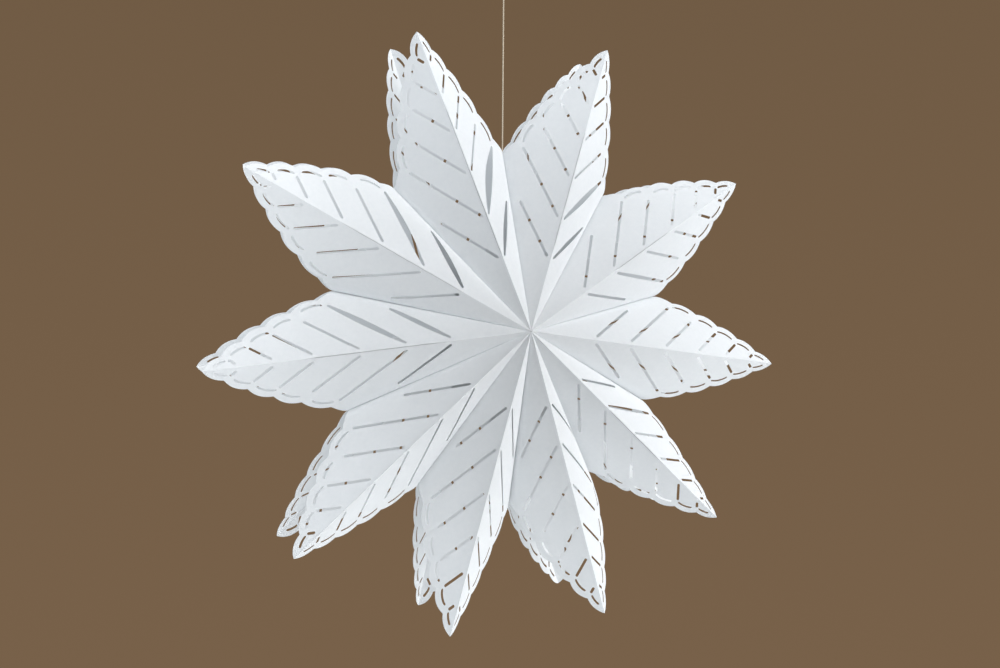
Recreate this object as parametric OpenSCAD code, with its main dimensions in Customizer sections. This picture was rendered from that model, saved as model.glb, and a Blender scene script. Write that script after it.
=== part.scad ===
// Hanging paper star: ten flat paper bags glued face to face, cut through with a scalloped
// edge and rows of slots, and opened out into a full circle round the glued bottom edges.
// The axis of the star lies along Y with its front toward -Y, and +Z is up.
// The origin is the point inside the hanging loop where a hook carries it.

/* [Paper bag] */
// Width of a flat bag, which is also the depth of the star at its centre
bag_w = 160; // [156:1:166]
// Length of the fold, from the bottom edge of the bag to the tip of a leaf
fold_len = 298; // [294:1:302]
// Height of the cut at the centre line of the bag, where two leaves part
notch_h = 172; // [168:1:176]
// Thickness of the paper
paper_t = 0.3; // [0.2:0.05:0.4]
// Clear distance from the axis to the bottom edge of each bag
hub_gap = 0.4; // [0.3:0.1:0.8]
// Width of the glue seam that goes on past the line where a leaf lifts off its neighbour
seam_lap = 0.6; // [0.4:0.1:0.9]

/* [Scalloped edge] */
// Length of the scallop at the tip
scallop_first = 22; // [21:0.5:23]
// How much longer each scallop is than the last
scallop_growth = 1.7; // [1.5:0.1:1.9]
// Angle between the fold and the scallop at the tip
scallop_heading = 41; // [39:0.5:43]
// How much each scallop turns back toward the fold
scallop_turn = 4.8; // [4.4:0.1:5.2]
// Height of a scallop's curve as a share of its length
scallop_bulge = 0.11; // [0.08:0.01:0.14]
// Width of the curved slits behind the scallops
slit_w = 2.2; // [1.6:0.1:2.6]

/* [Vein slots] */
// Width of the straight slots
vein_w = 2.2; // [1.6:0.1:2.6]
// Angle between the slots and the fold
vein_angle = 39; // [37:0.5:41]
// Distance from the fold to the root of each slot
vein_start = 5; // [4:0.5:6]

/* [String] */
// Thickness of the string
string_d = 1.4; // [1.2:0.1:1.6]
// Length of string from the notch up to the hanging loop
string_rise = 160; // [150:1:180]
// Radius of the hanging loop, to the middle of its string
loop_r = 8; // [6:0.5:12]
// Distance from the notch down to the middle of the punched hole
hole_drop = 8; // [7:0.5:9]
// Clearance round the string in the punched hole
hole_gap = 0.5; // [0.3:0.1:0.6]
// Radius of the knots
knot_r = 2.2; // [2:0.1:2.6]

/* [Hidden] */
BAGS = 10;
STRING_PIECES = ["hanging_string", "stop_knot", "hanging_loop"];

// Angle that each bag opens to, clockwise from the string: the side bags spread most
opening = [39.5, 39, 40, 36.5, 31.5, 30, 32.5, 34, 38.5, 38.5];
// How far each pair of leaves is from being pulled flat, as an angle at the pole
looseness = [0.3, 0.5, 0.7, 0.6, 1.1, 0.7, 0.3, 0.3, 0.5, 1.2];

// Each slot's root measured down the fold from the tip, and the room left past its end before
// the leaf's edge or the bend, whichever it would meet first
vein_drop = [28, 60, 96, 138, 181, 222];
vein_room = [9.5, 12.5, 14.5, 18.5, 12, 7.5];
// Each curved slit's start along its scallop, its length, and its distance inside the edge
slit_start = [11, 8, 7, 7, 10];
slit_len = [9, 13, 16, 15, 18];
slit_inset = [6.5, 8, 8.5, 8.5, 6.5];

SCALLOP_STEPS = 5;
SLIT_STEPS = 3;

half_w = bag_w / 2;
// Pattern angles are measured at the bag's bottom corner, from the fold
seam_angle = atan(half_w / notch_h);
// The leaf is flat from the fold to this share of the way to the seam, then bends once
BEND_SHARE = 0.83;
bend_angle = BEND_SHARE * seam_angle;
hang_drop = notch_h + string_rise + 2 * loop_r - string_d / 2;
hole_z = notch_h - hole_drop;
// Paper drawn past the planes of symmetry, where each quarter bag is trimmed
TRIM = 1;
STRIP_INSET = 0.02;

// Names of the ten bags, in clockwise order from the left of the string
function bag_name(i) = str("paper_bag_", i < 9 ? "0" : "", i + 1);

// Direction from the axis to the middle of a bag, in degrees up from +X
function azimuth(i) = i == 0 ? 90 + opening[0] / 2
    : azimuth(i - 1) - (opening[i - 1] + opening[i]) / 2;

// Vector helpers
function unit(v) = v / norm(v);
function part_across(v, along) = unit(v - (v * along) * along);

// Flat pattern of a quarter bag. Points are [distance from the fold, height above the bottom].
function heading(n) = scallop_heading - scallop_turn * n;
function scallop_len(n) = scallop_first + scallop_growth * n;
function scallop_along(n) = [sin(heading(n)), -cos(heading(n))];
function scallop_out(n) = [cos(heading(n)), sin(heading(n))];
function cusp(n) = n == 0 ? [0, fold_len]
    : cusp(n - 1) + scallop_len(n - 1) * scallop_along(n - 1);
function scallop_point(n, s, inset = 0) = let (t = s / scallop_len(n))
    cusp(n) + s * scallop_along(n)
    + (4 * scallop_bulge * scallop_len(n) * t * (1 - t) - inset) * scallop_out(n);

// Scallops follow each other down from the tip for as long as they end well inside the bend
BEND_ROOM = 2;
bend_dir = [sin(bend_angle), cos(bend_angle)];
function scallops_from(n) = cross(cusp(n + 1), bend_dir) > -BEND_ROOM ? n : scallops_from(n + 1);
SCALLOPS = scallops_from(0);

// The shoulder runs straight from the last cusp to the notch, and the bend crosses it
last_cusp = cusp(SCALLOPS);
notch = [half_w, notch_h];
bend_end = let (shoulder = notch - last_cusp, square = [shoulder[1], -shoulder[0]])
    (last_cusp * square) / (bend_dir * square) * bend_dir;

// The tip itself is left out: its edge runs on straight across the fold, to be trimmed there
function scalloped_edge() = [for (n = [0:SCALLOPS - 1])
    for (k = [(n == 0 ? 1 : 0):SCALLOP_STEPS - 1])
        scallop_point(n, k / SCALLOP_STEPS * scallop_len(n))];
first_step = scallop_point(0, scallop_len(0) / SCALLOP_STEPS);
past_tip = [-TRIM, fold_len + TRIM * (fold_len - first_step[1]) / first_step[0]];

// Scallops past the end of the tables have the last slit's sizes
function slit_size(table, n) = table[min(n, len(table) - 1)];
function curved_slit(n) = let (
    inset = slit_size(slit_inset, n),
    place = function (k) slit_size(slit_start, n) + slit_size(slit_len, n) * k / SLIT_STEPS
) concat(
    [for (k = [0:SLIT_STEPS]) scallop_point(n, place(k), inset - slit_w / 2)],
    [scallop_point(n, place(SLIT_STEPS) + slit_w / 2, inset)],
    [for (k = [SLIT_STEPS:-1:0]) scallop_point(n, place(k), inset + slit_w / 2)],
    [scallop_point(n, place(0) - slit_w / 2, inset)]
);

// Corners of the lines that a slot stops short of: the scallops, the shoulder and the bend
leaf_edge = concat([for (n = [0:SCALLOPS]) cusp(n)], [bend_end, [0, 0]]);
vein_dir = [sin(vein_angle), cos(vein_angle)];
// Distance along a slot from its root to the line from p to q, or a long way if it misses
function vein_reach(root, p, q) = let (
    to_p = p - root,
    turn = cross(vein_dir, q - p),
    share = cross(to_p, vein_dir) / turn
) share >= 0 && share <= 1 ? cross(to_p, q - p) / turn : fold_len;
function vein_len(n, root) = min([for (k = [1:len(leaf_edge) - 1])
    vein_reach(root, leaf_edge[k - 1], leaf_edge[k])]) - vein_room[n];

function vein_slot(n) = let (
    side = [cos(vein_angle), -sin(vein_angle)],
    root = [vein_start, fold_len - vein_drop[n]],
    tip = root + vein_len(n, root) * vein_dir,
    r = vein_w / 2
) concat(
    [for (a = [-90:60:90]) tip + r * (cos(a) * vein_dir - sin(a) * side)],
    [for (a = [-90:60:90]) root - r * (cos(a) * vein_dir - sin(a) * side)]
);

// Frames in which the pattern is laid out in space, seen from the pole at the bag's corner.
// The bag's own frame has its middle plane at z = 0 and opens along +X.
function seam_ray(i) = let (g = opening[i] / 2)
    [cos(seam_angle) * cos(g), sin(seam_angle), cos(seam_angle) * sin(g)];
function fold_tilt(i) = let (
    a = sin(seam_angle),
    b = cos(seam_angle) * cos(opening[i] / 2)
) atan2(b, a) + acos(cos(seam_angle - looseness[i]) / norm([a, b]));
function fold_ray(i) = [sin(fold_tilt(i)), cos(fold_tilt(i)), 0];
// The bend lies bend_angle from the fold and the rest of the way from the seam
function bend_ray(i) = let (
    f = fold_ray(i),
    s = seam_ray(i),
    c = f * s,
    cf = cos(bend_angle),
    cs = cos(seam_angle - bend_angle),
    a = (cf - c * cs) / (1 - c * c),
    b = (cs - c * cf) / (1 - c * c),
    out = unit(cross(f, s)),
    h = sqrt(1 - (a * a + b * b + 2 * a * b * c))
) a * f + b * s + h * (out[1] < 0 ? out : -out);

// Lays a flat piece of the pattern in space: x_dir and y_dir are the pattern's own axes
module lay(x_dir, y_dir) {
    n = cross(x_dir, y_dir);
    translate([0, -half_w, 0])
        multmatrix([for (r = [0:2]) [x_dir[r], y_dir[r], n[r], 0]])
            linear_extrude(paper_t) children();
}

// Leaf from the fold to the bend, with its slots
module leaf_panel(i) {
    outline = concat([[0, 0], [-TRIM, 0], past_tip], scalloped_edge(), [last_cusp, bend_end]);
    holes = concat(
        [for (n = [0:len(vein_drop) - 1]) vein_slot(n)],
        [for (n = [0:SCALLOPS - 1]) curved_slit(n)]
    );
    loops = concat([outline], holes);
    starts = [for (k = 0, s = 0; k < len(loops); s = s + len(loops[k]), k = k + 1) s];
    f = fold_ray(i);
    lay(part_across(bend_ray(i), f), f)
        polygon(
            [for (loop = loops) each loop],
            [for (k = [0:len(loops) - 1]) [for (p = [0:len(loops[k]) - 1]) starts[k] + p]]
        );
}

// Strip between the bend and the seam, set in a little from the faces that it joins
module bend_strip(i) {
    b = bend_ray(i);
    across = part_across(seam_ray(i), b);
    translate(STRIP_INSET * cross(across, b)) lay(sin(bend_angle) * b + cos(bend_angle) * across,
        cos(bend_angle) * b - sin(bend_angle) * across)
        polygon([[0, 0], bend_end, notch]);
}

// Glued triangle in the seam plane, between the axis, the centre line and the seam
module glued_flat(i) {
    g = opening[i] / 2;
    lap = seam_lap / cos(seam_angle);
    lay([0, 1, 0], [cos(g), 0, sin(g)])
        polygon([[0, 0], [half_w + TRIM, 0], [half_w + TRIM, notch_h],
            [half_w - lap, notch_h], [0, seam_lap / sin(seam_angle)]]);
}

// One quarter of a bag: half of the front leaf on one side
module quarter_bag(i) {
    intersection() {
        union() {
            glued_flat(i);
            bend_strip(i);
            leaf_panel(i);
        }
        translate([hub_gap, -half_w - TRIM, 0]) cube([fold_len, half_w + TRIM, fold_len]);
    }
}

// One whole bag in its place in the star
module paper_bag(i) {
    color("white") translate([0, 0, -hang_drop]) difference() {
        rotate([0, -azimuth(i), 0])
            for (left = [0, 1]) mirror([0, 0, left])
                for (back = [0, 1]) mirror([0, back, 0])
                    quarter_bag(i);
        if (i < 2) punched_hole();
    }
}

// Hole punched through the two glued layers below the top notch
module punched_hole() {
    translate([0, 0, hole_z]) rotate([0, 90, 0])
        cylinder(h = 4, r = string_d / 2 + hole_gap, center = true);
}

// Route of the string, down from the loop, in behind the glued seam and through the hole
layer_x = paper_t + string_d / 2 + 0.3;
knot_x = paper_t + 0.2;
string_route = [
    [0, notch_h + string_rise],
    [0, notch_h + 120],
    [0, notch_h + 80],
    [0, notch_h + 40],
    [0, notch_h + 8],
    [-0.3, notch_h + 5],
    [-layer_x + 0.3, notch_h + 2],
    [-layer_x, notch_h - 1],
    [-layer_x, hole_z + 1.5],
    [-layer_x + 0.3, hole_z + 0.5],
    [-layer_x + 0.9, hole_z],
    [knot_x, hole_z]
];

STRING_SIDES = 8;
// Direction of the route at point k, and a ring of points square to it
function route_dir(k) = unit(
    string_route[min(k + 1, len(string_route) - 1)] - string_route[max(k - 1, 0)]);
function route_ring(k) = let (
    flat = (k == 0 || k == len(string_route) - 1),
    d = flat ? (k == 0 ? [0, -1] : [1, 0]) : route_dir(k),
    side = [-d[1], d[0]]
) [for (s = [0:STRING_SIDES - 1]) let (a = 360 * s / STRING_SIDES, r = string_d / 2)
    [string_route[k][0] + r * cos(a) * side[0], r * sin(a),
        string_route[k][1] + r * cos(a) * side[1]]];

module hanging_string() {
    rings = len(string_route);
    points = [for (k = [0:rings - 1]) each route_ring(k)];
    walls = [for (k = [0:rings - 2]) for (s = [0:STRING_SIDES - 1])
        let (a = k * STRING_SIDES, b = a + STRING_SIDES, t = (s + 1) % STRING_SIDES)
        [a + s, a + t, b + t, b + s]];
    top = [for (s = [STRING_SIDES - 1:-1:0]) s];
    end = [for (s = [0:STRING_SIDES - 1]) (rings - 1) * STRING_SIDES + s];
    color("wheat") translate([0, 0, -hang_drop])
        polyhedron(points, concat([top], walls, [end]));
}

// Round knot that stands on a flat face
module knot() {
    intersection() {
        translate([0, 0, 0.6 * knot_r]) sphere(knot_r, $fn = 48);
        translate([-knot_r, -knot_r, 0]) cube(2 * knot_r);
    }
}

// Knot that stops the string inside the second bag
module stop_knot() {
    color("wheat") translate([knot_x, 0, hole_z - hang_drop]) rotate([0, 90, 0]) knot();
}

// Loop for the hook, with the knot that closes it
module hanging_loop() {
    color("wheat") translate([0, 0, notch_h + string_rise - hang_drop]) {
        translate([0, 0, loop_r]) rotate([90, 0, 0])
            rotate_extrude($fn = 64) translate([loop_r, 0]) circle(string_d / 2, $fn = 24);
        knot();
    }
}

for (i = [0:BAGS - 1])
    paper_bag(i);
hanging_string();
stop_knot();
hanging_loop();
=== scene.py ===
import math

import bpy
import numpy as np
from mathutils import Matrix, Vector


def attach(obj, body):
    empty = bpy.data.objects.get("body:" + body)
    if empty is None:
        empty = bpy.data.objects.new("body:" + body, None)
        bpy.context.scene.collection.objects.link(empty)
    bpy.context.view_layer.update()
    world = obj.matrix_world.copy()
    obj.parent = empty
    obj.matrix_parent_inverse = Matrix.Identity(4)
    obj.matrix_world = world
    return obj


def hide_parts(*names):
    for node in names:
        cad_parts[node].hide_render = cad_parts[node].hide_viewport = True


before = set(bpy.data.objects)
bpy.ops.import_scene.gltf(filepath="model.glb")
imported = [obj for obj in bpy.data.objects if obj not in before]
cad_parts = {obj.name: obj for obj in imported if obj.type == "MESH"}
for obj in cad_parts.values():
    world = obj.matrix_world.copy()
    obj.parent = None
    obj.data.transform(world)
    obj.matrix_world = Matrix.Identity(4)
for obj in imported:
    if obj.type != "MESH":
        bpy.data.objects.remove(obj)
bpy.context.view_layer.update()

STAR_MIDDLE = Vector((0, 0, -0.3473))


# Camera. It stands to the left of the axis and a little above the middle of the star,
# about a metre away, and turns a little down and to the right.
CAMERA_DISTANCE = 1.0916
CAMERA_SHIFT = (-0.001, -0.0055)
CAMERA_YAW = 20.57
CAMERA_PITCH = -2.15
CAMERA_ROLL = 0.45
FOCAL_IN_WIDTHS = 1.0916
SENSOR_WIDTH = 36

camera_turn = (
    Matrix.Rotation(math.radians(-CAMERA_YAW), 3, "Z")
    @ Matrix.Rotation(math.radians(90 + CAMERA_PITCH), 3, "X")
    @ Matrix.Rotation(math.radians(CAMERA_ROLL), 3, "Z")
)
camera_place = STAR_MIDDLE + camera_turn @ Vector((*CAMERA_SHIFT, CAMERA_DISTANCE))
bpy.ops.object.camera_add(location=camera_place, rotation=camera_turn.to_euler())
camera = bpy.context.object
camera.name = "photo_camera"
camera.data.sensor_width = SENSOR_WIDTH
camera.data.lens = SENSOR_WIDTH * FOCAL_IN_WIDTHS
bpy.context.scene.camera = camera


# String. Three-ply cream cotton, 1.4 mm thick. It comes out of a hole punched through the glued
# seam at the top notch, runs straight up, and ends in a knot that closes the hanging loop.
STRING_R = 0.0007
PLIES = 3
PLY_R = 0.464 * STRING_R
PLY_OUT = STRING_R - PLY_R
PLY_PITCH = 0.0062
STEPS_PER_TURN = 12
NOTCH_Z = STAR_MIDDLE.z + 0.172
HOLE_Z = NOTCH_Z - 0.008
INSIDE_X = -0.0013
STRING_TOP = -0.0153
# Points of the string's middle in X and Z: through the hole, up inside the bag and out at the notch
string_route = [
    (0.0005, HOLE_Z),
    (INSIDE_X + 0.0009, HOLE_Z),
    (INSIDE_X + 0.0003, HOLE_Z + 0.0005),
    (INSIDE_X, HOLE_Z + 0.0015),
    (INSIDE_X, NOTCH_Z - 0.001),
    (INSIDE_X + 0.0003, NOTCH_Z + 0.002),
    (-0.0003, NOTCH_Z + 0.005),
    (0, NOTCH_Z + 0.008),
    (0, NOTCH_Z + 0.04),
    (0, NOTCH_Z + 0.08),
    (0, NOTCH_Z + 0.12),
    (0, STRING_TOP),
]


def even_points(points, step, closed=False):
    """Points along a line at even distances, with the distance of each."""
    line = np.array(points + points[:1] if closed else points, float)
    run = np.concatenate([[0], np.cumsum(np.linalg.norm(np.diff(line, axis=0), axis=1))])
    count = max(2, round(run[-1] / step))
    at = np.linspace(0, run[-1], count + 1)
    return np.stack([np.interp(at, run, line[:, k]) for k in range(3)], axis=1), at


# Where the string runs nearly along Y, its side is carried on from the point before
SIDE_AT_LEAST = 0.3


def twisted_string(name, points, closed=False):
    """Plies wound round a line, joined into one mesh."""
    middle, at = even_points(points, PLY_PITCH / STEPS_PER_TURN, closed)
    along = np.gradient(middle, axis=0)
    if closed:
        along[0] = along[-1] = middle[1] - middle[-2]
    along /= np.linalg.norm(along, axis=1)[:, None]
    side = np.cross(along, (0, 1, 0))
    for k, v in enumerate(side):
        size = np.linalg.norm(v)
        side[k] = v / size if size > SIDE_AT_LEAST else side[k - 1]
    side -= np.sum(side * along, axis=1)[:, None] * along
    side /= np.linalg.norm(side, axis=1)[:, None]
    across = np.cross(along, side)
    turns = at / PLY_PITCH
    if closed:
        turns *= round(turns[-1]) / turns[-1]
    bpy.ops.object.select_all(action="DESELECT")
    plies = []
    for ply in range(PLIES):
        angle = 2 * math.pi * (turns + ply / PLIES)
        wound = middle + PLY_OUT * (np.cos(angle)[:, None] * side + np.sin(angle)[:, None] * across)
        wound = wound[:-1] if closed else wound
        line = bpy.data.curves.new(name, "CURVE")
        line.dimensions = "3D"
        line.bevel_depth = PLY_R
        line.bevel_resolution = 2
        line.use_fill_caps = not closed
        spline = line.splines.new("POLY")
        spline.points.add(len(wound) - 1)
        spline.points.foreach_set("co", np.column_stack([wound, np.ones(len(wound))]).ravel())
        spline.use_cyclic_u = closed
        plies.append(bpy.data.objects.new(name, line))
        bpy.context.collection.objects.link(plies[-1])
        plies[-1].select_set(True)
    bpy.context.view_layer.objects.active = plies[0]
    bpy.ops.object.convert(target="MESH")
    bpy.ops.object.join()
    bpy.ops.object.shade_smooth()
    piece = bpy.context.object
    piece.name = name
    return piece


# Cotton. A warm cream mottled by its fibres, dull, with a soft fuzz that catches the light.
cotton = bpy.data.materials.new("cotton_string")
cotton.use_nodes = True
nodes, links = cotton.node_tree.nodes, cotton.node_tree.links
cotton_shader = nodes["Principled BSDF"]
cotton_shader.inputs["Roughness"].default_value = 0.9
cotton_shader.inputs["Specular IOR Level"].default_value = 0.2
cotton_shader.inputs["Sheen Weight"].default_value = 0.3
where = nodes.new("ShaderNodeTexCoord")
fibre = nodes.new("ShaderNodeTexNoise")
fibre.inputs["Scale"].default_value = 1800
fibre.inputs["Detail"].default_value = 3
fibre_colour = nodes.new("ShaderNodeValToRGB")
fibre_colour.color_ramp.elements[0].position = 0.3
fibre_colour.color_ramp.elements[0].color = (0.46, 0.38, 0.28, 1)
fibre_colour.color_ramp.elements[1].position = 0.7
fibre_colour.color_ramp.elements[1].color = (0.66, 0.57, 0.44, 1)
fibre_bump = nodes.new("ShaderNodeBump")
fibre_bump.inputs["Strength"].default_value = 0.4
fibre_bump.inputs["Distance"].default_value = 0.0001
links.new(where.outputs["Object"], fibre.inputs["Vector"])
links.new(fibre.outputs["Fac"], fibre_colour.inputs["Fac"])
links.new(fibre_colour.outputs["Color"], cotton_shader.inputs["Base Color"])
links.new(fibre.outputs["Fac"], fibre_bump.inputs["Height"])
links.new(fibre_bump.outputs["Normal"], cotton_shader.inputs["Normal"])

string_points = [(x, 0, z) for x, z in string_route]
string = twisted_string("cotton_string", string_points)


# Loop for the hook. The string's upper end comes round in a ring 16 mm across and is tied back
# to the string below it, so the whole star hangs from one nail or hook.
LOOP_R = 0.008
LOOP_Z = -(LOOP_R - STRING_R)
LOOP_STEPS = 48
loop_points = [
    (LOOP_R * math.sin(a), 0, LOOP_Z - LOOP_R * math.cos(a))
    for a in np.linspace(0, 2 * math.pi, LOOP_STEPS + 1)[:-1]
]
loop = twisted_string("string_loop", loop_points, closed=True)


# Knots. Two overhand knots in the same string, pulled tight. One closes the loop. The other sits
# behind the punched hole and keeps the string from pulling through the paper.
KNOT_SPREAD = 0.00049104
KNOT_DEPTH = 0.0007502
KNOT_STEPS = 72
LOOP_KNOT_AT = (0, 0, STRING_TOP + 0.0006)
STOP_KNOT_AT = (0.0018, 0, HOLE_Z)


def overhand_knot(name, middle, axis):
    """A trefoil of string, pulled tight, with its axis along X or Z."""
    points = []
    for t in np.linspace(0, 2 * math.pi, KNOT_STEPS + 1)[:-1]:
        u = KNOT_SPREAD * (math.sin(t) + 2 * math.sin(2 * t))
        v = KNOT_SPREAD * (math.cos(t) - 2 * math.cos(2 * t))
        w = -KNOT_DEPTH * math.sin(3 * t)
        offset = (w, u, v) if axis == "X" else (u, v, w)
        points.append(tuple(m + d for m, d in zip(middle, offset)))
    return twisted_string(name, points, closed=True)


loop_knot = overhand_knot("loop_knot", LOOP_KNOT_AT, "Z")
stop_knot = overhand_knot("string_stop_knot", STOP_KNOT_AT, "X")
for piece in (string, loop, loop_knot, stop_knot):
    piece.data.materials.clear()
    piece.data.materials.append(cotton)
    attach(piece, "root")
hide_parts("hanging_string")
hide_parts("hanging_loop")
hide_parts("stop_knot")


# Flat sheet. One quarter of a paper bag as it lies flat: the fold runs up at x = 0 and the
# centre line, where the bag is glued to its neighbour, at x = 80 mm. The scallops, the curved
# slits and the slots are cut through all the layers at once, so every quarter is the same.
FOLD_LEN = 0.298
NOTCH_H = 0.172
HALF_W = 0.080
POLE_GAP = 0.0005
PAPER_T = 0.0003
SEAM_ANGLE = math.atan2(HALF_W, NOTCH_H)

# Scallops, counted from the tip. Each is a little longer than the one before and slopes a little
# more steeply down along the fold. The points between them are set in from the line they follow.
SCALLOPS = 5
SCALLOP_FIRST = 0.022
SCALLOP_GROWTH = 0.0017
SCALLOP_HEADING = 41
SCALLOP_TURN = 4.8
SCALLOP_BULGE = (0.145, 0.165, 0.165, 0.165, 0.135)
CUSP_SET = (0, 0.0009, 0.0009, 0.0009, 0.0009, 0)
SCALLOP_STEPS = 12

# Curved slits, one inside each scallop
SLIT_W = 0.0026
SLIT_START = (0.011, 0.008, 0.007, 0.007, 0.010)
SLIT_LEN = (0.009, 0.013, 0.016, 0.015, 0.018)
SLIT_INSET = (0.0065, 0.008, 0.0085, 0.0085, 0.0065)
SLIT_STEPS = 8
SLIT_END = (45, 0, -45)

# Straight slots like the veins of a leaf, counted from the tip. Each starts beside the fold and
# slants up and outward; the drop is how far below the tip it starts.
VEIN_W = 0.0027
VEIN_ANGLE = math.radians(39)
VEIN_START = 0.005
VEIN_DROP = (0.028, 0.060, 0.096, 0.138, 0.181, 0.222)
VEIN_LEN = (0.0053, 0.0219, 0.0401, 0.0571, 0.0822, 0.0632)
VEIN_STEP = 0.006
VEIN_END = (60, 30, 0, -30, -60)

# The sheet is divided along these lines from the pole, in degrees from the fold, and square
# to the fold at this spacing, so that it can bend
BEND_LINES = (4, 8, 11, 13.5, 15.5, 17, 18.3, 19.4, 20.4, 21.3, 22.1, 22.8, 23.4, 23.9, 24.3, 24.6)
CROSS_SPACING = 0.009
# Points of the sheet that are nearer to each other than this become one
SHEET_WELD = 0.00001


def scallop_axes(n):
    """The way along a scallop and the way out of it."""
    heading = math.radians(SCALLOP_HEADING - SCALLOP_TURN * n)
    along = np.array((math.sin(heading), -math.cos(heading)))
    return along, np.array((-along[1], along[0]))


def scallop_length(n):
    return SCALLOP_FIRST + SCALLOP_GROWTH * n


def cusp(n):
    """Where a scallop starts, before it is set in."""
    point = np.array((0, FOLD_LEN))
    for k in range(n):
        point = point + scallop_length(k) * scallop_axes(k)[0]
    return point


def scallop_point(n, s, inset=0.0):
    """The point at a distance s along a scallop, this far inside its edge."""
    along, out = scallop_axes(n)
    t = s / scallop_length(n)
    rise = 4 * SCALLOP_BULGE[n] * scallop_length(n) * t * (1 - t)
    set_in = np.interp(n + t, range(SCALLOPS + 1), CUSP_SET)
    return cusp(n) + s * along + (rise - set_in - inset) * out


def curved_slit(n):
    """The outline of a slit that follows a scallop, with rounded ends."""
    r = SLIT_W / 2
    middle = SLIT_INSET[n]
    places = SLIT_START[n] + SLIT_LEN[n] * np.linspace(0, 1, SLIT_STEPS + 1)
    ends = [(r * math.cos(a), r * math.sin(a)) for a in map(math.radians, SLIT_END)]
    outer = [scallop_point(n, s, middle - r) for s in places]
    far = [scallop_point(n, places[-1] + forth, middle - up) for forth, up in ends]
    inner = [scallop_point(n, s, middle + r) for s in places[::-1]]
    near = [scallop_point(n, places[0] - forth, middle + up) for forth, up in ends]
    return outer + far + inner + near


def vein_line(n):
    """Where a straight slot starts, which way it runs and how long it is."""
    along = np.array((math.sin(VEIN_ANGLE), math.cos(VEIN_ANGLE)))
    root = np.array((VEIN_START, FOLD_LEN - VEIN_DROP[n]))
    return root, along, VEIN_LEN[n]


def vein_slot(n):
    """The outline of a straight slot with rounded ends."""
    root, along, length = vein_line(n)
    side = np.array((along[1], -along[0]))
    r = VEIN_W / 2
    stops = np.linspace(0, length, max(2, round(length / VEIN_STEP)))
    ends = [r * (math.cos(a) * along + math.sin(a) * side) for a in map(math.radians, VEIN_END)]
    right = [root + s * along + r * side for s in stops]
    tip = [root + length * along + end for end in ends]
    left = [root + s * along - r * side for s in stops[::-1]]
    base = [root - end for end in ends]
    return right + tip + left + base


edge = [
    scallop_point(n, s * scallop_length(n))
    for n in range(SCALLOPS)
    for s in np.linspace(0, 1, SCALLOP_STEPS + 1)[:-1]
]
fold_line = [(0, POLE_GAP), (0, FOLD_LEN)]
centre_line = [cusp(SCALLOPS), (HALF_W, NOTCH_H), (HALF_W, POLE_GAP)]
outline = fold_line + edge[1:] + centre_line
cuts = [vein_slot(n) for n in range(len(VEIN_LEN))] + [curved_slit(n) for n in range(SCALLOPS)]

sheet_line = bpy.data.curves.new("cut_sheet", "CURVE")
sheet_line.dimensions = "2D"
sheet_line.fill_mode = "BOTH"
for outline_loop in [outline] + cuts:
    spline = sheet_line.splines.new("POLY")
    spline.points.add(len(outline_loop) - 1)
    flat = [c for x, y in outline_loop for c in (x, y, 0, 1)]
    spline.points.foreach_set("co", flat)
    spline.use_cyclic_u = True
sheet = bpy.data.objects.new("cut_sheet", sheet_line)
bpy.context.collection.objects.link(sheet)
bpy.ops.object.select_all(action="DESELECT")
sheet.select_set(True)
bpy.context.view_layer.objects.active = sheet
bpy.ops.object.convert(target="MESH")
sheet = bpy.context.object

bpy.ops.object.mode_set(mode="EDIT")
bpy.ops.mesh.select_all(action="SELECT")
bpy.ops.mesh.remove_doubles(threshold=SHEET_WELD)
bpy.ops.mesh.dissolve_limited(angle_limit=0.0001)
bend_angles = [math.radians(a) for a in BEND_LINES] + [SEAM_ANGLE]
division = [((0, 0, 0), (math.cos(a), -math.sin(a), 0)) for a in bend_angles]
division += [((0, y, 0), (0, 1, 0)) for y in np.arange(CROSS_SPACING, FOLD_LEN, CROSS_SPACING)]
for place, square in division:
    bpy.ops.mesh.select_all(action="SELECT")
    bpy.ops.mesh.bisect(plane_co=place, plane_no=square, threshold=0.000001)
bpy.ops.mesh.select_all(action="SELECT")
bpy.ops.mesh.normals_make_consistent(inside=False)
bpy.ops.object.mode_set(mode="OBJECT")

# The pattern's own coordinates stay with the paper as a UV map, in spans of 0.3 m
PATTERN_SPAN = 0.3
pattern = np.empty(len(sheet.data.vertices) * 3)
sheet.data.vertices.foreach_get("co", pattern)
pattern = pattern.reshape(-1, 3)[:, :2].copy()
uv = sheet.data.uv_layers.new(name="pattern")
corner = np.empty(len(sheet.data.loops), int)
sheet.data.loops.foreach_get("vertex_index", corner)
uv.data.foreach_set("uv", (pattern[corner] / PATTERN_SPAN).ravel())


# Paper. White uncoated bag paper with a faintly cool tint and a fine fibre, dull, and thin enough
# for light to come through it.
paper = bpy.data.materials.new("white_paper")
paper.use_nodes = True
nodes, links = paper.node_tree.nodes, paper.node_tree.links
paper_shader = nodes["Principled BSDF"]
paper_shader.inputs["Roughness"].default_value = 0.85
paper_shader.inputs["Specular IOR Level"].default_value = 0.25
where = nodes.new("ShaderNodeTexCoord")
pulp = nodes.new("ShaderNodeTexNoise")
pulp.inputs["Scale"].default_value = 260
pulp.inputs["Detail"].default_value = 6
pulp.inputs["Roughness"].default_value = 0.6
pulp_colour = nodes.new("ShaderNodeValToRGB")
pulp_colour.color_ramp.elements[0].position = 0.25
pulp_colour.color_ramp.elements[0].color = (0.835, 0.862, 0.882, 1)
pulp_colour.color_ramp.elements[1].position = 0.75
pulp_colour.color_ramp.elements[1].color = (0.875, 0.897, 0.912, 1)
pulp_bump = nodes.new("ShaderNodeBump")
pulp_bump.inputs["Strength"].default_value = 0.25
pulp_bump.inputs["Distance"].default_value = 0.0002
links.new(where.outputs["Object"], pulp.inputs["Vector"])
links.new(pulp.outputs["Fac"], pulp_colour.inputs["Fac"])
links.new(pulp_colour.outputs["Color"], paper_shader.inputs["Base Color"])
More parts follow.
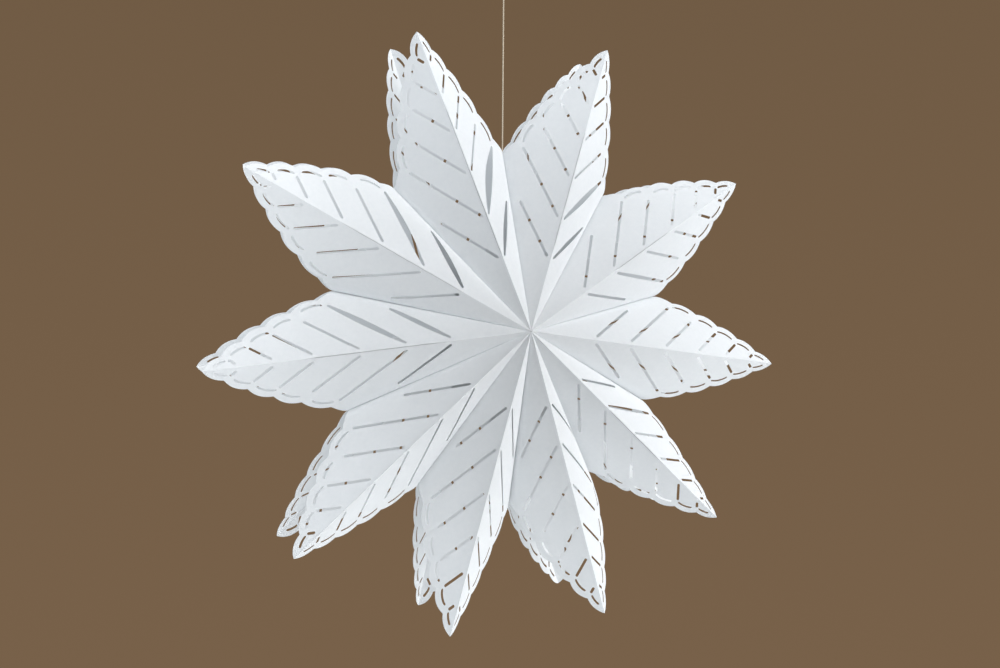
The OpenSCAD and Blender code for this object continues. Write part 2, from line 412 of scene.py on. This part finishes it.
links.new(pulp.outputs["Fac"], pulp_bump.inputs["Height"])
links.new(pulp_bump.outputs["Normal"], paper_shader.inputs["Normal"])
paper_shader.subsurface_method = "RANDOM_WALK"
paper_shader.inputs["Subsurface Weight"].default_value = 1.0
paper_shader.inputs["Subsurface Radius"].default_value = (1.0, 1.0, 1.0)
paper_shader.inputs["Subsurface Scale"].default_value = 0.0025

# The inner side of the sheet is painted whiter than the paper's own colour. This is painted light:
# it stands in for the light that comes through the paper and goes on from wall to wall inside the
# bags, so their insides read lighter.
inner_paper_painted_light = paper.copy()
inner_paper_painted_light.name = "white_paper_inside_painted_light"
inner_painted_light_ramp = next(node for node in inner_paper_painted_light.node_tree.nodes if node.type == "VALTORGB").color_ramp
# Painted light: the inner side's colours are lighter than the outer paper's, to stand in for the
# light inside the bags
inner_painted_light_ramp.elements[0].color = (0.955, 0.968, 0.975, 1)
inner_painted_light_ramp.elements[1].color = (0.970, 0.980, 0.985, 1)

# No light comes through where two bags are glued together. In the pattern's own coordinates
# that is beyond the line of the seam, which runs up from the pole.
nodes, links = inner_paper_painted_light.node_tree.nodes, inner_paper_painted_light.node_tree.links
inner_shader = nodes["Principled BSDF"]
own_place = nodes.new("ShaderNodeUVMap")
own_place.uv_map = "pattern"
split = nodes.new("ShaderNodeSeparateXYZ")
seam_at = nodes.new("ShaderNodeMath")
seam_at.operation = "MULTIPLY"
seam_at.inputs[1].default_value = math.tan(SEAM_ANGLE)
free = nodes.new("ShaderNodeMath")
free.operation = "LESS_THAN"
links.new(own_place.outputs["UV"], split.inputs["Vector"])
links.new(split.outputs["Y"], seam_at.inputs[0])
links.new(split.outputs["X"], free.inputs[0])
links.new(seam_at.outputs["Value"], free.inputs[1])
links.new(free.outputs["Value"], inner_shader.inputs["Subsurface Weight"])


# Opened bags. Each bag of folded paper is glued to its neighbours along its two centre lines and
# opened out. From the glued seam the paper rolls over in a cone about the pole, where all the
# bags meet, and comes out flat at the fold, so each point keeps its distance from the pole.
BAGS = 10
FRONT, BACK = 1, -1
# The angle from seam to seam that each bag takes up round the star
OPENING = (39.5, 39, 40, 36.5, 31.5, 30, 32.5, 34, 38.5, 38.5)
# How far each pair of leaves is from being pulled flat, as an angle at the pole
SLACK = (0.3, 0.5, 0.7, 0.6, 0.35, 0.7, 0.3, 0.3, 0.5, 1.0)
# How far the tip of each leaf leans, to the left and away from the other leaf: front, then back
LEAN = (
    ((0, 0.003), (0.0075, -0.001)),
    ((0, 0), (-0.002, 0.002)),
    ((0.001, 0.001), (0, 0)),
    ((0, 0), (0, 0)),
    ((0, -0.0038), (0, -0.0048)),
    ((0.001, 0.001), (0.002, 0.013)),
    ((-0.001, 0.004), (0, 0.007)),
    ((-0.003, 0.012), (0, 0.001)),
    ((-0.001, -0.006), (-0.002, -0.008)),
    ((0.007, -0.0065), (-0.001, -0.0115)),
)
# Slots that have sprung open like a lens where the paper curls to the seam. For each bag, the
# side of its front leaf (1 is the left one seen with the tip up), the slot (0 is the one nearest
# the tip), and how far its lips bow toward the fold and toward the seam.
SPRUNG = (
    ((-1, 4, 0.0070, 0.0020), (-1, 5, 0.0020, 0.0015)),
    ((-1, 4, 0.0020, 0.0020), (-1, 5, 0.0009, 0.0009)),
    ((-1, 4, 0.0005, 0.0005),),
    (),
    ((1, 4, 0.0008, 0.0008),),
    (),
    (),
    (),
    ((-1, 4, 0.0018, 0.0016), (-1, 5, 0.0011, 0.0011)),
    ((-1, 4, 0.0012, 0.0026), (-1, 5, 0.0014, 0.0020)),
)
# How far from a sprung slot the paper is still pushed aside
SPRING_REACH = 0.016
ROLL_STEPS = 120
# The four quarters of a bag are joined where their points are this near
JOIN_WELD = 0.00002
CREASE_ANGLE = math.radians(28)
AXIS = np.array((0.0, 1.0, 0.0))

# The search for the roll that ends at the fold: its tries, how near is near enough, the nudge
# that shows which way to go, and the least taper, at the start and later on
ROLL_TRIES = 12
ROLL_CLOSE = 1e-7
ROLL_NUDGE = 1e-4
TAPER_AT_START = 0.2
TAPER_AT_LEAST = -0.5


def roll_out(half_opening, loose):
    """Directions from the pole, from the seam to the fold, in even steps.

    At the seam the paper still lies in the plane where the bags are glued. From there it rolls
    over, fastest at first, and its bend dies out as a power of the way that is left, the taper.
    """
    outward = np.array((math.cos(half_opening), 0, math.sin(half_opening)))
    seam = math.cos(SEAM_ANGLE) * outward + math.sin(SEAM_ANGLE) * AXIS
    start = math.sin(SEAM_ANGLE) * outward - math.cos(SEAM_ANGLE) * AXIS
    a, b = math.sin(SEAM_ANGLE), math.cos(SEAM_ANGLE) * math.cos(half_opening)
    tilt = math.atan2(b, a) + math.acos(math.cos(SEAM_ANGLE - loose) / math.hypot(a, b))
    fold = np.array((math.sin(tilt), math.cos(tilt), 0))
    turn_side = 1 if np.dot(np.cross(seam, start), fold) > 0 else -1
    chord = fold - np.dot(fold, seam) * seam
    turn = math.acos(np.dot(start, chord) / np.linalg.norm(chord))
    step = SEAM_ANGLE / ROLL_STEPS

    def follow(total, taper):
        """The directions on the way for a bend of this total and taper."""
        d, t = seam.copy(), start.copy()
        path = [d.copy()]
        for k in range(ROLL_STEPS):
            left = 1 - (k + 0.5) / ROLL_STEPS
            bend = turn_side * total * (taper + 1) / ROLL_STEPS * left**taper
            t = math.cos(bend / 2) * t + math.sin(bend / 2) * np.cross(d, t)
            d, t = math.cos(step) * d + math.sin(step) * t, math.cos(step) * t - math.sin(step) * d
            t = math.cos(bend / 2) * t + math.sin(bend / 2) * np.cross(d, t)
            path.append(d.copy())
        return np.array(path)

    across = np.cross(fold, seam)
    across /= np.linalg.norm(across)
    inside = np.cross(across, fold)

    def miss(roll):
        """How far the way ends beside the fold and short of it."""
        end = follow(*roll)[-1]
        return np.array((np.dot(end, across), np.dot(end, inside)))

    taper = max(TAPER_AT_START, (SEAM_ANGLE * turn**2 / (2 * loose) - 3) / 2)
    roll = np.array((turn * (taper + 2) / (taper + 1), taper))
    for _ in range(ROLL_TRIES):
        off = miss(roll)
        if np.linalg.norm(off) < ROLL_CLOSE:
            break
        nudges = np.eye(2) * ROLL_NUDGE
        slope = np.column_stack([(miss(roll + nudge) - off) / ROLL_NUDGE for nudge in nudges])
        roll = roll - np.linalg.solve(slope, off)
        roll[1] = max(roll[1], TAPER_AT_LEAST)
    return follow(*roll)


def spring_open(points, n, to_fold, to_seam):
    """The flat quarter's points with the lips of one slot bowed apart, to nothing at its ends."""
    root, along, length = vein_line(n)
    side = np.array((along[1], -along[0]))
    off = points - root
    run = off @ along / length
    out = off @ side
    bow = np.where(out > 0, to_seam, -to_fold) * np.exp(-np.abs(out) / SPRING_REACH)
    bow *= np.sin(math.pi * np.clip(run, 0, 1))
    return points + bow[:, None] * side


def lay_out(points, path, half_opening):
    """Where points of the flat quarter come when the bag is opened."""
    reach = np.hypot(points[:, 0], points[:, 1])
    from_fold = np.arctan2(points[:, 0], points[:, 1])
    from_seam = (SEAM_ANGLE - from_fold) / SEAM_ANGLE * ROLL_STEPS
    steps = np.arange(ROLL_STEPS + 1)
    way = np.stack([np.interp(from_seam, steps, path[:, k]) for k in range(3)], axis=1)
    outward = np.array((math.cos(half_opening), 0, math.sin(half_opening)))
    glued = from_fold > SEAM_ANGLE
    rise = from_fold[glued][:, None]
    way[glued] = np.cos(rise) * outward + np.sin(rise) * AXIS
    way /= np.linalg.norm(way, axis=1)[:, None]
    return reach[:, None] * way - HALF_W * AXIS


# A lean is whole at the tip and dies out toward the pole and the seams
lean_share = np.hypot(pattern[:, 0], pattern[:, 1]) / FOLD_LEN
lean_share *= np.clip(1 - np.arctan2(pattern[:, 0], pattern[:, 1]) / SEAM_ANGLE, 0, 1)

# The bags stand clockwise round the star from its top notch
azimuth = 90 + OPENING[0] / 2
for number in range(BAGS):
    if number > 0:
        azimuth -= (OPENING[number - 1] + OPENING[number]) / 2
    half_opening = math.radians(OPENING[number] / 2)
    path = roll_out(half_opening, math.radians(SLACK[number]))
    ca, sa = math.cos(math.radians(azimuth)), math.sin(math.radians(azimuth))
    bpy.ops.object.select_all(action="DESELECT")
    quarters = []
    for face, (to_left, apart) in zip((FRONT, BACK), LEAN[number]):
        for side in (1, -1):
            points = pattern
            for at_side, slot, to_fold, to_seam in SPRUNG[number]:
                if face == FRONT and at_side == side:
                    points = spring_open(points, slot, to_fold, to_seam)
            spot = lay_out(points, path, half_opening)
            shaped = (spot + lean_share[:, None] * (0, -apart, side * to_left)) * (1, face, side)
            turned = np.column_stack([
                shaped[:, 0] * ca - shaped[:, 2] * sa,
                shaped[:, 1],
                shaped[:, 0] * sa + shaped[:, 2] * ca + STAR_MIDDLE.z,
            ])
            quarter = bpy.data.objects.new("quarter", sheet.data.copy())
            bpy.context.collection.objects.link(quarter)
            quarter.data.vertices.foreach_set("co", turned.ravel())
            if side * face > 0:
                quarter.data.flip_normals()
            quarter.select_set(True)
            quarters.append(quarter)
    bpy.context.view_layer.objects.active = quarters[0]
    bpy.ops.object.join()
    bag = bpy.context.object
    bag.name = f"folded_bag_{number + 1:02d}"
    bag.data.materials.clear()
    bag.data.materials.append(paper)
    bag.data.materials.append(inner_paper_painted_light)
    bpy.ops.object.mode_set(mode="EDIT")
    bpy.ops.mesh.select_all(action="SELECT")
    bpy.ops.mesh.remove_doubles(threshold=JOIN_WELD)
    bpy.ops.object.mode_set(mode="OBJECT")
    bpy.ops.object.modifier_add(type="SOLIDIFY")
    sheet_thickness = bag.modifiers[0]
    sheet_thickness.thickness = PAPER_T
    sheet_thickness.offset = -1
    sheet_thickness.material_offset = 1
    bpy.ops.object.modifier_apply(modifier=sheet_thickness.name)
    bpy.ops.object.shade_smooth_by_angle(angle=CREASE_ANGLE)
    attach(bag, "root")
    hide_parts(f"paper_bag_{number + 1:02d}")
bpy.data.objects.remove(sheet)


# Floor and light. A plain pale floor, a broad soft key from the front and right, a cool light
# from behind on the left, two weak panels and an even fill from all round.
FLOOR_Z = -1.6
FLOOR_R = 2.5
bpy.ops.object.select_all(action="DESELECT")
bpy.ops.mesh.primitive_circle_add(
    vertices=96, radius=FLOOR_R, fill_type="NGON", location=(0, 0, FLOOR_Z)
)
floor = bpy.context.object
floor.name = "floor"
floor_paint = bpy.data.materials.new("floor_paint")
floor_paint.use_nodes = True
floor_shader = floor_paint.node_tree.nodes["Principled BSDF"]
floor_shader.inputs["Base Color"].default_value = (0.76, 0.75, 0.73, 1)
floor_shader.inputs["Roughness"].default_value = 0.9
floor_shader.inputs["Specular IOR Level"].default_value = 0.0
floor.data.materials.append(floor_paint)

# The two broad lights: the side each comes from, its colour and its strength
SUN_SPREAD = math.radians(50)
SUNS = (
    ("key_light", Vector((0.32, -0.88, 0.36)), (1.0, 1.0, 1.0), 2.34),
    ("rim_light", Vector((-0.72, 0.66, 0.22)), (0.90, 0.97, 1.0), 0.6),
)
for sun_name, sun_from, sun_colour, sun_strength in SUNS:
    bpy.ops.object.light_add(type="SUN")
    sun = bpy.context.object
    sun.name = sun_name
    sun.rotation_euler = sun_from.to_track_quat("Z", "Y").to_euler()
    sun.data.color = sun_colour
    sun.data.energy = sun_strength
    sun.data.angle = SUN_SPREAD

# Two small soft panels close by, low on the right and high on the left: where each stands from
# the middle of the star, and its power
PANEL_SIZE = 0.6
PANELS = (
    ("low_panel", Vector((0.90, -0.90, -0.45)), 2.4),
    ("high_panel", Vector((-0.90, -0.70, 0.50)), 1.0),
)
for panel_name, panel_from, panel_power in PANELS:
    bpy.ops.object.light_add(type="AREA", location=STAR_MIDDLE + panel_from)
    panel = bpy.context.object
    panel.name = panel_name
    panel.rotation_euler = panel_from.to_track_quat("Z", "Y").to_euler()
    panel.data.shape = "DISK"
    panel.data.size = PANEL_SIZE
    panel.data.energy = panel_power

# The fill lights the star, and the brown of the wall is only seen. It is a little lighter low
# down: the two colours blend over this range of the view's slope.
FILL_COLOUR = (0.92, 1.0, 1.08, 1)
FILL_STRENGTH = 0.48
BACKDROP_HIGH = (0.163, 0.105, 0.059, 1)
BACKDROP_LOW = (0.188, 0.120, 0.068, 1)
BACKDROP_RANGE = (-0.33, 0.27)
world = bpy.data.worlds.new("studio")
bpy.context.scene.world = world
world.use_nodes = True
nodes, links = world.node_tree.nodes, world.node_tree.links
fill = nodes["Background"]
fill.inputs["Color"].default_value = FILL_COLOUR
fill.inputs["Strength"].default_value = FILL_STRENGTH
seen = nodes.new("ShaderNodeBackground")
look = nodes.new("ShaderNodeTexCoord")
height = nodes.new("ShaderNodeSeparateXYZ")
rise = nodes.new("ShaderNodeMapRange")
rise.inputs["From Min"].default_value = BACKDROP_RANGE[0]
rise.inputs["From Max"].default_value = BACKDROP_RANGE[1]
backdrop = nodes.new("ShaderNodeMix")
backdrop.data_type = "RGBA"
backdrop.inputs["A"].default_value = BACKDROP_LOW
backdrop.inputs["B"].default_value = BACKDROP_HIGH
links.new(look.outputs["Generated"], height.inputs["Vector"])
links.new(height.outputs["Z"], rise.inputs["Value"])
links.new(rise.outputs["Result"], backdrop.inputs["Factor"])
links.new(backdrop.outputs["Result"], seen.inputs["Color"])
rays = nodes.new("ShaderNodeLightPath")
direct_or_glossy = nodes.new("ShaderNodeMath")
direct_or_glossy.operation = "MAXIMUM"
any_seen = nodes.new("ShaderNodeMath")
any_seen.operation = "MAXIMUM"
mix = nodes.new("ShaderNodeMixShader")
links.new(rays.outputs["Is Camera Ray"], direct_or_glossy.inputs[0])
links.new(rays.outputs["Is Glossy Ray"], direct_or_glossy.inputs[1])
links.new(direct_or_glossy.outputs["Value"], any_seen.inputs[0])
links.new(rays.outputs["Is Transmission Ray"], any_seen.inputs[1])
links.new(any_seen.outputs["Value"], mix.inputs["Fac"])
links.new(fill.outputs["Background"], mix.inputs[1])
links.new(seen.outputs["Background"], mix.inputs[2])
links.new(mix.outputs["Shader"], nodes["World Output"].inputs["Surface"])

bpy.context.scene.view_settings.view_transform = "Standard"
